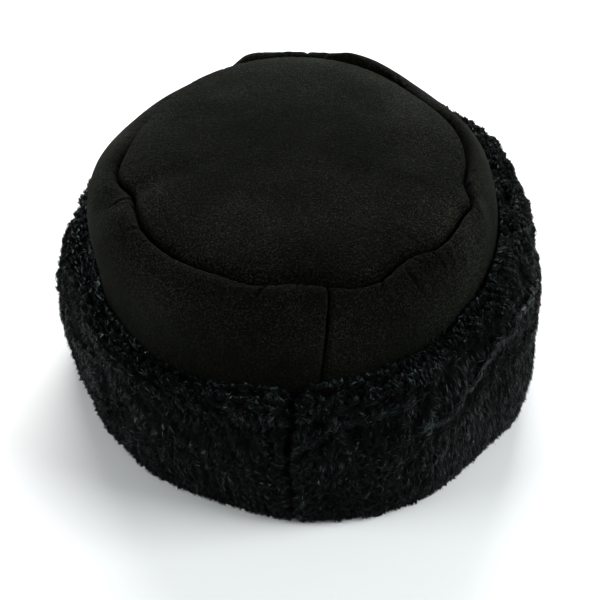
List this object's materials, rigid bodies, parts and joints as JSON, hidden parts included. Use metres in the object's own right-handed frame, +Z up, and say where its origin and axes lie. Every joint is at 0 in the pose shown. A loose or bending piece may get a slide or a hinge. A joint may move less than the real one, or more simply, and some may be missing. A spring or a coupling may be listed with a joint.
{
  "type": "sheepskin hat",
  "caption": "Round sheepskin hat with a domed suede crown, sewn tip and side band, and a deep turned-up cuff of wool parted at the back.",
  "frame": {"origin": "on the floor under the middle of the head opening", "axes": "+Z up, the wearer faces -Y, the back with the cuff's parting is at +Y, the wearer's left is +X"},
  "size_m": [0.2352, 0.2534, 0.1335],
  "materials": {
    "black_suede": "dyed suede with a short soft nap",
    "black_wool": "dyed sheep's wool, clipped and curly, lumpy towards the cuff's top edge"
  },
  "bodies": {
    "root": {"crown_tip": "black_suede", "band_right": "black_suede", "band_left": "black_suede", "cuff": "black_wool"}
  },
  "joints": []
}
